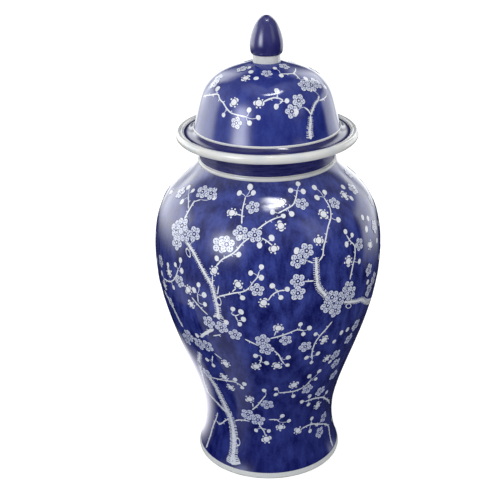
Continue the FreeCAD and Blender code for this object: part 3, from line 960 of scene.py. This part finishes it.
def cobalts():
    glaze = settings()[0]
    return (cobalt_glaze("cobalt_wash", glaze.cobalt_deep, glaze.cobalt_thin, glaze.gloss),
            white_glaze("clear_on_white", glaze.porcelain, glaze.gloss))


class JAR_OT_body(bpy.types.Operator):
    """Jar body: cobalt outside, white inside"""
    bl_idname = "ginger_jar.body"
    bl_label = "Body"

    def execute(self, context):
        outline = faired(jar_outline(), BODY_STEP)
        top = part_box("upper_body")[1].z
        widest_inside = np.argmax(outline[:, 1] > top - 1e-6)

        def paint(radius, height, row):
            return (row >= widest_inside).astype(int)

        blue, white = cobalts()
        piece = turned("jar_body", outline, [blue, white], paint)
        finish_piece(piece, "jar", "cobalt_glaze", "lower_body", "upper_body")
        return {"FINISHED"}


class JAR_OT_foot(bpy.types.Operator):
    """Bare standing ring"""
    bl_idname = "ginger_jar.foot"
    bl_label = "Foot ring"

    def execute(self, context):
        outline = faired(whole_outline("foot_ring"), FINE_STEP)
        piece = turned("jar_foot", outline, [bare_porcelain("bare_foot", settings()[0].bare)])
        finish_piece(piece, "jar", "bare_porcelain", "foot_ring")
        return {"FINISHED"}


class JAR_OT_neck(bpy.types.Operator):
    """Neck ring: white band at its foot, cobalt above, white rim and bore"""
    bl_idname = "ginger_jar.neck"
    bl_label = "Neck"

    def execute(self, context):
        low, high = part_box("neck_ring")
        bore = min(run[:, 0].min() for run in outline_runs("neck_ring"))

        def paint(radius, height, row):
            outside = radius > bore + NECK_SKIN
            return (~(outside & (height > low.z + NECK_WHITE) & (height < high.z - RIM_WHITE))).astype(int)

        white = cobalts()[1]
        blue = cobalt_glaze("neck_cobalt", shade(22, 23, 84), shade(60, 61, 122), settings()[0].gloss,
                            strokes=(0.6, 0.6, 6), rings=0.12 * MM)
        piece = turned("jar_neck", faired(whole_outline("neck_ring"), FINE_STEP), [blue, white], paint)
        finish_piece(piece, "jar", "cobalt_glaze", "neck_ring")
        return {"FINISHED"}


class JAR_OT_lid(bpy.types.Operator):
    """Lid: brim with its sunk cobalt channel, collar and dome"""
    bl_idname = "ginger_jar.lid"
    bl_label = "Lid"

    def execute(self, context):
        glaze = settings()[0]
        blue = cobalt_glaze("lid_cobalt_wash", glaze.lid_deep, glaze.lid_thin, glaze.gloss)
        channel = cobalt_glaze("channel_cobalt", shade(16, 14, 74), shade(30, 30, 94), glaze.gloss)
        white = cobalts()[1]
        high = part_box("lid_brim")[1]
        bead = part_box("lid_dome")[1].x + BEAD_OUT

        def brim_paint(radius, height, row):
            return ((radius > bead + CHANNEL_START) & (radius < high.x - CHANNEL_END)
                    & (height > high.z - CHANNEL_DEPTH)).astype(int)

        outline = faired(whole_outline("lid_brim"), FINEST_STEP)
        brim = turned("lid_brim_ring", outline, [white, channel], brim_paint)
        finish_piece(brim, "lid", "white_glaze", "lid_brim")
        collar = turned("lid_collar_ring", faired(whole_outline("lid_collar"), LID_STEP), [white])
        finish_piece(collar, "lid", "white_glaze", "lid_collar")
        outline = faired(whole_outline("lid_dome"), LID_STEP)
        foot, crown = (corner.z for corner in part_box("lid_dome"))
        outer = np.flatnonzero(np.abs(outline[:, 1] - foot) < SAME / 2)
        inside_first = outline[0, 1] < crown - 1 * MM

        def dome_paint(radius, height, row):
            return (row < outer.min()).astype(int) if inside_first else (row >= outer.max() - 1).astype(int)

        dome = turned("lid_dome_shell", outline, [blue, white], dome_paint)
        finish_piece(dome, "lid", "cobalt_glaze", "lid_dome")
        return {"FINISHED"}


class JAR_OT_finial(bpy.types.Operator):
    """Bud finial on its white foot"""
    bl_idname = "ginger_jar.finial"
    bl_label = "Finial"

    def execute(self, context):
        glaze = settings()[0]
        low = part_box("finial")[0].z
        blue = cobalt_glaze("finial_cobalt", shade(32, 32, 92), shade(50, 50, 106), glaze.gloss + 0.03)
        white = cobalts()[1]

        def paint(radius, height, row):
            return (height < low + BUD_FOOT).astype(int)

        outline = faired(whole_outline("finial"), FINEST_STEP)
        piece = turned("lid_finial", outline, [blue, white], paint, AROUND // 2)
        finish_piece(piece, "lid", "cobalt_glaze", "finial")
        return {"FINISHED"}


def outside_of(outline, low, high):
    """The part of an outline that faces outwards between two heights, from its foot up."""
    widest = outline[:, 0].argmax()
    first = last = widest
    step = 1 if outline[min(widest + 3, len(outline) - 1), 1] > outline[widest, 1] else -1
    while 0 <= last + step < len(outline) and outline[last + step, 1] <= high + 1e-7 \
            and outline[last + step, 1] >= outline[last, 1] - 1e-9:
        last += step
    while 0 <= first - step < len(outline) and outline[first - step, 1] >= low - 1e-7 \
            and outline[first - step, 1] <= outline[first, 1] + 1e-9:
        first -= step
    return outline[first:last + step:step] if step > 0 else outline[last:first + 1][::-1]


class JAR_OT_jar_pattern(bpy.types.Operator):
    """Blossoming plum trees on the jar"""
    bl_idname = "ginger_jar.jar_pattern"
    bl_label = "Jar pattern"

    def execute(self, context):
        look = settings()[1]
        low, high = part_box("lower_body")[0].z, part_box("upper_body")[1].z
        skin = Skin(outside_of(faired(jar_outline(), BODY_STEP), low, high))
        pattern = Pattern(skin, look.blossom, look.bud, 11)
        for limb in limb_and_back(chain(*TRUNK_LIMBS.values())):
            pattern.limb(*limb, bark=True)
        for limb in limb_and_back(chain(*TWIGS.values(), SIDE_TWIGS)):
            pattern.limb(*limb)
        for paint, places, side_places in ((pattern.blossoms, BLOSSOMS, SIDE_BLOSSOMS),
                                           (pattern.half_open, HALF_OPEN, SIDE_HALF_OPEN),
                                           (pattern.buds, BUDS, SIDE_BUDS)):
            paint(np.concatenate([places, turned_back(places), and_opposite(side_places)]))
        pattern.knots(np.concatenate([KNOTS, np.array(KNOTS, float) + [*HALF_TURN, 0]]))
        paint_pattern(pattern, "jar")
        return {"FINISHED"}


class JAR_OT_lid_pattern(bpy.types.Operator):
    """Blossoming sprays on the lid"""
    bl_idname = "ginger_jar.lid_pattern"
    bl_label = "Lid pattern"

    def execute(self, context):
        look = settings()[1]
        low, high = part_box("lid_dome")
        skin = Skin(outside_of(faired(whole_outline("lid_dome"), LID_STEP), low.z, high.z))
        pattern = Pattern(skin, look.blossom * 0.86, look.bud * 0.92, 23)
        for limbs, bark, by_radius in ((LID_LIMBS, True, False), (LID_TWIGS, False, False),
                                       (CROWN_TWIGS, False, True)):
            for limb in limb_and_back(limbs):
                pattern.limb(*limb, by_radius=by_radius, bark=bark)
        for paint, places, by_radius in (
                (pattern.blossoms, LID_BLOSSOMS, False), (pattern.half_open, LID_HALF_OPEN, False),
                (pattern.buds, LID_BUDS, False), (pattern.blossoms, CROWN_BLOSSOMS, True),
                (pattern.half_open, CROWN_HALF_OPEN, True), (pattern.buds, CROWN_BUDS, True)):
            paint(and_opposite(places), by_radius)
        paint_pattern(pattern, "lid")
        return {"FINISHED"}


def paint_pattern(pattern, body):
    glaze, look, _ = settings()
    # For the white lines and the petal wash, the second colour is a darker, bluer white: it serves for thin
    # strokes, and as painted shade towards the foot.
    line = painted("pattern_white", look.linen, toned(look.linen, 0.62, 0.66, 0.76), glaze.gloss)
    wash = painted("petal_wash", look.petal, toned(look.petal, 0.60, 0.64, 0.76), glaze.gloss, 300)
    dark = painted("pattern_dark", shade(20, 26, 98), shade(34, 44, 120), glaze.gloss)
    pattern.line.build(body + "_pattern_white", line, body, "white_glaze")
    pattern.wash.build(body + "_petal_wash", wash, body, "white_glaze")
    pattern.dark.build(body + "_pattern_dark", dark, body, "cobalt_glaze")


# Stage -------------------------------------------------------------------------------------------

def seen_ray(tree):
    """1 for rays from the camera and for those that a glossy or clear surface sends on."""
    path = tree.add("ShaderNodeLightPath")
    outputs = path.socket.node.outputs
    camera, glossy, clear = (Wire(tree, outputs[n]) for n in
                             ("Is Camera Ray", "Is Glossy Ray", "Is Transmission Ray"))
    return camera.larger(glossy).larger(clear)


def window(amount, start, full, fade, end):
    """1 between full and fade, with a smooth rise from start and a smooth fall to end."""
    return amount.between(start, full) * (1 - amount.between(fade, end))


TENT_R, TENT_Z = 3.0, 0.22           # radius of the mirrored studio, and height of its middle
TENT_COLUMNS, TENT_ROWS = 96, 48

# The studio's lit patches: the azimuths where each starts, is full, begins to fade and ends, the
# same for its elevations, and its strength. Azimuth is 0 in front and 90 to the right.
TENT_PATCHES = {
    "haze": ((-140, -100, -50, -10), (-24, 4, 40, 62), 0.6),
    "low_left": ((-125, -95, -55, -25), (-95, -60, -32, -12), 0.5),
    "left_strip": ((-154, -140, -99, -84), (-20, 4, 18, 34), 3.6),
    "right_strip": ((103, 113, 141, 152), (-26, -4, 12, 24), 2.4),
    "fill": ((36, 48, 58, 72), (8, 20, 42, 58), 1.1),
}
KEY_PATCH = ((-74, -45, -40, -10), (-18, 14, 18, 50))
OVERHEAD_PATCH = ((-44, 10, 60, 106), (69.5, 73.6, 74.2, 78))

# These lie behind the jar, the same on both sides: their azimuths are counted away from the front.
BACK_STRIPS = ((136, 148, 158, 170), (9, 17, 34, 50))
BACKDROP = ((140, 160, 190, 200), (-17, -8, 6, 15))
BACKDROP_FOOT = ((168, 175, 190, 200), (-42, -28, 6, 15))


def studio_glow(around, rise):
    """How bright the studio is at an azimuth and an elevation, both in degrees."""
    def patch(turn, azimuths, elevations, strength=1.0):
        return window(turn, *azimuths) * window(rise, *elevations) * strength

    aside = around.larger(around * -1)
    sky = rise.between(0, 34) * 0.44 + rise.between(55, 78) * 0.7 + 0.04
    glow = sky * (1 - aside.between(140, 160) * 0.75)
    for place in TENT_PATCHES.values():
        glow = glow + patch(around, *place)
    glow = glow + patch(aside, *BACK_STRIPS) * 3.0
    glow = glow + patch(aside, *BACKDROP).larger(patch(aside, *BACKDROP_FOOT)) * 2.4
    key, overhead = patch(around, *KEY_PATCH), patch(around, *OVERHEAD_PATCH)
    return glow + (key * key * key) * 10 + key * 0.6 + (overhead * overhead * overhead) * 34


def studio_tent():
    """The studio that the glaze mirrors: a sphere round the jar that only glossy rays see."""
    turn, rise = np.meshgrid(np.radians(np.linspace(-180, 180, TENT_COLUMNS + 1)),
                             np.radians(np.linspace(-90, 90, TENT_ROWS + 1)))
    points = np.stack([TENT_R * np.sin(turn) * np.cos(rise), -TENT_R * np.cos(turn) * np.cos(rise),
                       TENT_R * np.sin(rise) + TENT_Z], -1).reshape(-1, 3)
    wide = TENT_COLUMNS + 1
    k = (np.arange(TENT_ROWS)[:, None] * wide + np.arange(TENT_COLUMNS)).ravel()
    made, tree = material("tent_cloth")
    across, away, height = tree.parts(tree.place())
    around = tree.add("ShaderNodeMath", {"operation": "ARCTAN2"}, {0: across, 1: away * -1}) * (180 / pi)
    rise = tree.add("ShaderNodeMath", {"operation": "ARCSINE"}, {0: (height - TENT_Z) / TENT_R}) * (180 / pi)
    colour = tree.add("ShaderNodeVectorMath", {"operation": "SCALE"},
                      {0: (0.97, 0.99, 1.0), "Scale": studio_glow(around, rise)})
    glossy_only(tree, made, colour, "studio_tent", points, np.stack([k, k + wide, k + wide + 1, k + 1], -1))


def glossy_only(tree, made, colour, name, points, faces):
    """A stage mesh that shines with a colour and that only glossy rays see."""
    light = tree.add("ShaderNodeEmission", None, {"Color": colour, "Strength": 1.0})
    tree.add("ShaderNodeOutputMaterial", None, {"Surface": light})
    made.cycles.emission_sampling = "NONE"
    piece = mesh_object(name, points, faces, [made])
    for ray in ("camera", "diffuse", "transmission", "volume_scatter", "shadow"):
        setattr(piece, "visible_" + ray, False)


def table_glow():
    """The lit part of the table, behind and to the left of the foot, as the glaze mirrors it."""
    made, tree = material("table_glow")
    across, away, height = tree.parts(tree.place())
    glow = window(across, -0.20, -0.12, -0.06, -0.02) * window(away, -0.02, 0.04, 0.13, 0.22) * 2.2
    colour = tree.add("ShaderNodeVectorMath", {"operation": "SCALE"}, {0: (0.94, 0.93, 1.0), "Scale": glow})
    points = np.array([[-0.34, -0.08, 0], [0, -0.08, 0], [0, 0.32, 0], [-0.34, 0.32, 0]]) + [0, 0, 0.5 * MM]
    glossy_only(tree, made, colour, "table_glow", points, np.array([[0, 1, 2, 3]]))


def soft_lamp(name, azimuth, elevation, distance, size, power):
    """A square softbox that faces the jar from an azimuth (0 in front, 90 to the right) and an
    elevation above its middle."""
    lamp = bpy.data.lights.new(name, "AREA")
    lamp.shape, lamp.size, lamp.energy = "SQUARE", size, power
    made = bpy.data.objects.new(name, lamp)
    a, e = radians(azimuth), radians(elevation)
    target = Vector((0, 0, 0.25))
    made.location = target + distance * Vector((sin(a) * cos(e), -cos(a) * cos(e), sin(e)))
    made.rotation_euler = (target - made.location).to_track_quat("-Z", "Y").to_euler()
    made.visible_glossy = False
    bpy.context.scene.collection.objects.link(made)


class JAR_OT_stage(bpy.types.Operator):
    """Pale floor, soft light, mirrored studio and camera"""
    bl_idname = "ginger_jar.stage"
    bl_label = "Stage"

    def execute(self, context):
        stage = settings()[2]
        scene = context.scene
        scene.view_settings.view_transform = "Standard"
        self.light_world(scene, stage.ambient)
        self.lay_floor()
        studio_tent()
        table_glow()
        soft_lamp("key_softbox", -38, 40, 1.9, 0.55, 14)
        soft_lamp("fill_softbox", 30, 50, 2.2, 0.8, 10)
        self.aim_camera(scene, stage)
        return {"FINISHED"}

    def light_world(self, scene, level):
        world = bpy.data.worlds.new("studio_light")
        tree = Tree(world)
        strength = seen_ray(tree) * (1 - level) + level
        glow = tree.add("ShaderNodeBackground", None, {"Color": (1, 1, 1), "Strength": strength})
        tree.add("ShaderNodeOutputWorld", None, {"Surface": glow})
        scene.world = world

    def lay_floor(self):
        """A round floor, lifted to white for the rays that see it, which keeps the jar's shadow."""
        turns = np.arange(96) * 2 * pi / 96
        rim = np.stack([6 * np.cos(turns), 6 * np.sin(turns), 0 * turns], -1)
        points = np.concatenate([[[0, 0, 0]], rim])
        k = np.arange(96)
        faces = np.stack([0 * k, 1 + k, 1 + (k + 1) % 96], -1)
        made, tree = material("pale_floor")
        matt = tree.add("ShaderNodeBsdfDiffuse", None, {"Color": shade(236, 236, 236)})
        lift = tree.add("ShaderNodeEmission", None, {"Color": (1, 1, 1), "Strength": seen_ray(tree) * 0.55})
        both = tree.add("ShaderNodeAddShader", None, {0: matt, 1: lift})
        tree.add("ShaderNodeOutputMaterial", None, {"Surface": both})
        floor = mesh_object("floor", points - [0, 0, 0.2 * MM], faces, [made])
        floor.visible_glossy = False

    def aim_camera(self, scene, stage):
        camera = bpy.data.cameras.new("camera")
        camera.lens, camera.sensor_width = CAMERA_LENS, 36
        camera.clip_start, camera.clip_end = 0.01, 100
        made = bpy.data.objects.new("camera", camera)
        pitch, yaw, roll = CAMERA_PITCH, CAMERA_YAW, CAMERA_ROLL
        ahead = Vector((-sin(yaw) * cos(pitch), cos(yaw) * cos(pitch), -sin(pitch)))
        right = Vector((cos(yaw), sin(yaw), 0))
        up = right.cross(ahead)
        right, up = right * cos(roll) + up * sin(roll), up * cos(roll) - right * sin(roll)
        turn = Matrix((right, up, -ahead)).transposed()
        made.matrix_world = Matrix.LocRotScale(Vector((0, -stage.distance, stage.height)), turn, None)
        scene.collection.objects.link(made)
        scene.camera = made


STEPS = (JAR_OT_body, JAR_OT_foot, JAR_OT_neck, JAR_OT_lid, JAR_OT_finial, JAR_OT_jar_pattern,
         JAR_OT_lid_pattern, JAR_OT_stage)


class JAR_PT_panel(bpy.types.Panel):
    """Everything that builds the ginger jar"""
    bl_idname = "JAR_PT_panel"
    bl_label = "Ginger jar"
    bl_space_type = "VIEW_3D"
    bl_region_type = "UI"
    bl_category = "Ginger jar"

    def draw(self, context):
        for group in settings():
            box = self.layout.box()
            for name in group.bl_rna.properties.keys():
                if name not in ("rna_type", "name"):
                    box.prop(group, name)
        for step in STEPS:
            self.layout.operator(step.bl_idname)


CLASSES = (GlazeSettings, PatternSettings, StageSettings, *STEPS, JAR_PT_panel)


def register():
    for made in CLASSES:
        bpy.utils.register_class(made)
    bpy.types.Scene.jar_glaze = bpy.props.PointerProperty(type=GlazeSettings)
    bpy.types.Scene.jar_pattern = bpy.props.PointerProperty(type=PatternSettings)
    bpy.types.Scene.jar_stage = bpy.props.PointerProperty(type=StageSettings)


def unregister():
    del bpy.types.Scene.jar_glaze, bpy.types.Scene.jar_pattern, bpy.types.Scene.jar_stage
    for made in reversed(CLASSES):
        bpy.utils.unregister_class(made)


def main():
    register()
    for step in STEPS:
        group, name = step.bl_idname.split(".")
        getattr(getattr(bpy.ops, group), name)()


if __name__ == "__main__":
    main()
